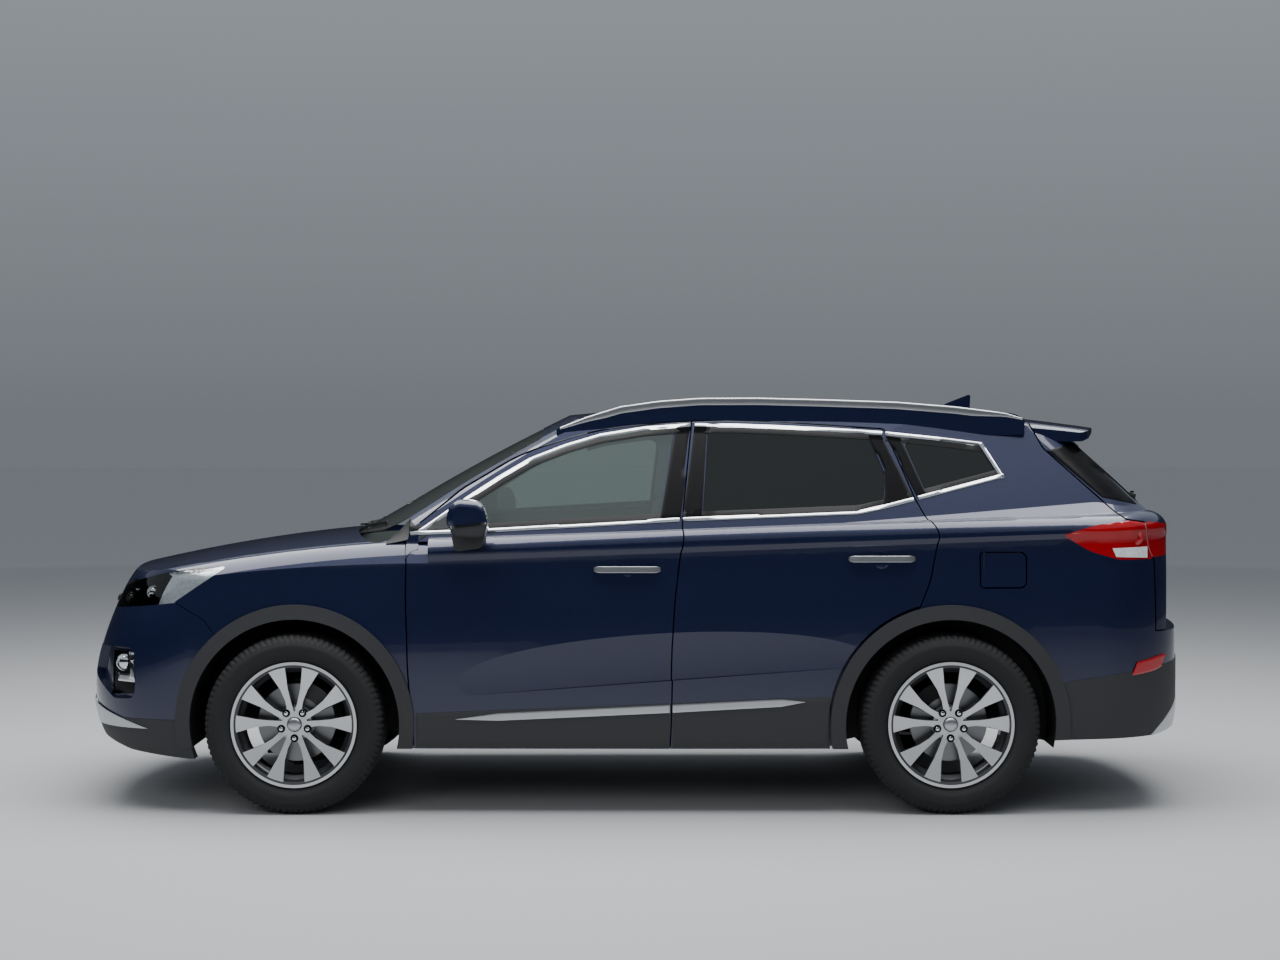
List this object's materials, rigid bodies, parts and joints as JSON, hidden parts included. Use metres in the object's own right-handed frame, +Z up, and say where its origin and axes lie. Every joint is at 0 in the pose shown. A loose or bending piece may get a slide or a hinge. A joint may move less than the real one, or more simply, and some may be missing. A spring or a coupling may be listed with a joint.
{
  "type": "crossover suv",
  "caption": "Five-door crossover SUV with hinged doors, bonnet, tailgate and fuel flap, steered front wheels and free-turning road wheels.",
  "frame": {"origin": "middle of the overall box in X and Y, on the road", "axes": "+X toward the tail, +Y toward the car's right side, +Z up"},
  "size_m": [4.7154, 2.15, 1.735],
  "materials": {
    "body_paint": "deep navy metallic paint under clear lacquer",
    "black_plastic": "grained dark grey plastic",
    "gloss_black": "gloss black plastic",
    "headlamp_lens": "clear lens over bright reflectors",
    "tail_lens": "red lens",
    "clear_glass": "lightly green clear glass",
    "privacy_glass": "dark privacy glass",
    "satin_silver": "satin silver",
    "machined_alloy": "diamond-turned alloy",
    "tyre_rubber": "black rubber",
    "steel": "cast metal",
    "underbody": "black chassis paint",
    "cabin_plastic": "dark cabin plastic",
    "seat_cloth": "dark grey cloth"
  },
  "bodies": {
    "body": {"body_side_left": "body_paint", "body_side_right": "body_paint", "roof": "body_paint", "floor_pan": "underbody", "bulkhead": "underbody", "front_wings": "body_paint", "front_bumper": "body_paint", "rear_bumper": "body_paint", "arch_trims": "black_plastic", "grille": "gloss_black", "headlamps": "headlamp_lens", "tail_lamps": "tail_lens", "windscreen": "clear_glass", "quarter_glass": "privacy_glass", "roof_rails": "satin_silver", "dashboard": "cabin_plastic", "steering_wheel": "cabin_plastic", "seats": "seat_cloth", "engine": "steel", "front_subframe": "underbody", "rear_axle": "underbody"},
    "bonnet": {"bonnet": "body_paint"},
    "tailgate": {"tailgate": "body_paint", "rear_glass": "privacy_glass", "tailgate_lamps": "tail_lens"},
    "fuel_flap": {"fuel_flap": "body_paint"},
    "front_door_left": {"door_fl": "body_paint", "glass_fl": "clear_glass", "mirror_l": "black_plastic"},
    "rear_door_left": {"door_rl": "body_paint", "glass_rl": "privacy_glass"},
    "knuckle_left": {"knuckle_l": "steel"},
    "wheel_front_left": {"tyre_fl": "tyre_rubber", "wheel_fl": "machined_alloy"},
    "wheel_rear_left": {"tyre_rl": "tyre_rubber", "wheel_rl": "machined_alloy"},
    "front_door_right": {"door_fr": "body_paint", "glass_fr": "clear_glass", "mirror_r": "black_plastic"},
    "rear_door_right": {"door_rr": "body_paint", "glass_rr": "privacy_glass"},
    "knuckle_right": {"knuckle_r": "steel"},
    "wheel_front_right": {"tyre_fr": "tyre_rubber", "wheel_fr": "machined_alloy"},
    "wheel_rear_right": {"tyre_rr": "tyre_rubber", "wheel_rr": "machined_alloy"}
  },
  "joints": [
    {"name": "steer_left", "type": "hinge", "parent": "body", "child": "knuckle_left", "pos_m": [-1.4, -0.765, 0.3705], "axis": [0, 0, 1], "range_deg": [-35, 35]},
    {"name": "roll_front_left", "type": "hinge", "parent": "knuckle_left", "child": "wheel_front_left", "pos_m": [-1.4, -0.81, 0.3705], "axis": [0, 1, 0], "continuous": true},
    {"name": "roll_rear_left", "type": "hinge", "parent": "body", "child": "wheel_rear_left", "pos_m": [1.3, -0.81, 0.3705], "axis": [0, 1, 0], "continuous": true},
    {"name": "front_door_left_hinge", "type": "hinge", "parent": "body", "child": "front_door_left", "pos_m": [-0.894, -0.91, 0.7], "axis": [0, 0, -1], "range_deg": [0, 65]},
    {"name": "rear_door_left_hinge", "type": "hinge", "parent": "body", "child": "rear_door_left", "pos_m": [0.194, -0.915, 0.7], "axis": [0, 0, -1], "range_deg": [0, 65]},
    {"name": "steer_right", "type": "hinge", "parent": "body", "child": "knuckle_right", "pos_m": [-1.4, 0.765, 0.3705], "axis": [0, 0, 1], "range_deg": [-35, 35]},
    {"name": "roll_front_right", "type": "hinge", "parent": "knuckle_right", "child": "wheel_front_right", "pos_m": [-1.4, 0.81, 0.3705], "axis": [0, 1, 0], "continuous": true},
    {"name": "roll_rear_right", "type": "hinge", "parent": "body", "child": "wheel_rear_right", "pos_m": [1.3, 0.81, 0.3705], "axis": [0, 1, 0], "continuous": true},
    {"name": "front_door_right_hinge", "type": "hinge", "parent": "body", "child": "front_door_right", "pos_m": [-0.894, 0.91, 0.7], "axis": [0, 0, 1], "range_deg": [0, 65]},
    {"name": "rear_door_right_hinge", "type": "hinge", "parent": "body", "child": "rear_door_right", "pos_m": [0.194, 0.915, 0.7], "axis": [0, 0, 1], "range_deg": [0, 65]},
    {"name": "bonnet_hinge", "type": "hinge", "parent": "body", "child": "bonnet", "pos_m": [-1.05, 0, 1.152], "axis": [0, 1, 0], "range_deg": [0, 58]},
    {"name": "tailgate_hinge", "type": "hinge", "parent": "body", "child": "tailgate", "pos_m": [1.61, 0, 1.612], "axis": [0, -1, 0], "range_deg": [0, 78]},
    {"name": "fuel_flap_hinge", "type": "hinge", "parent": "body", "child": "fuel_flap", "pos_m": [1.436, -0.886, 1.006], "axis": [0, 0, -1], "range_deg": [0, 90]}
  ],
  "couplings": [
    {"joint": "steer_right", "follows": "steer_left", "ratio": 1}
  ]
}
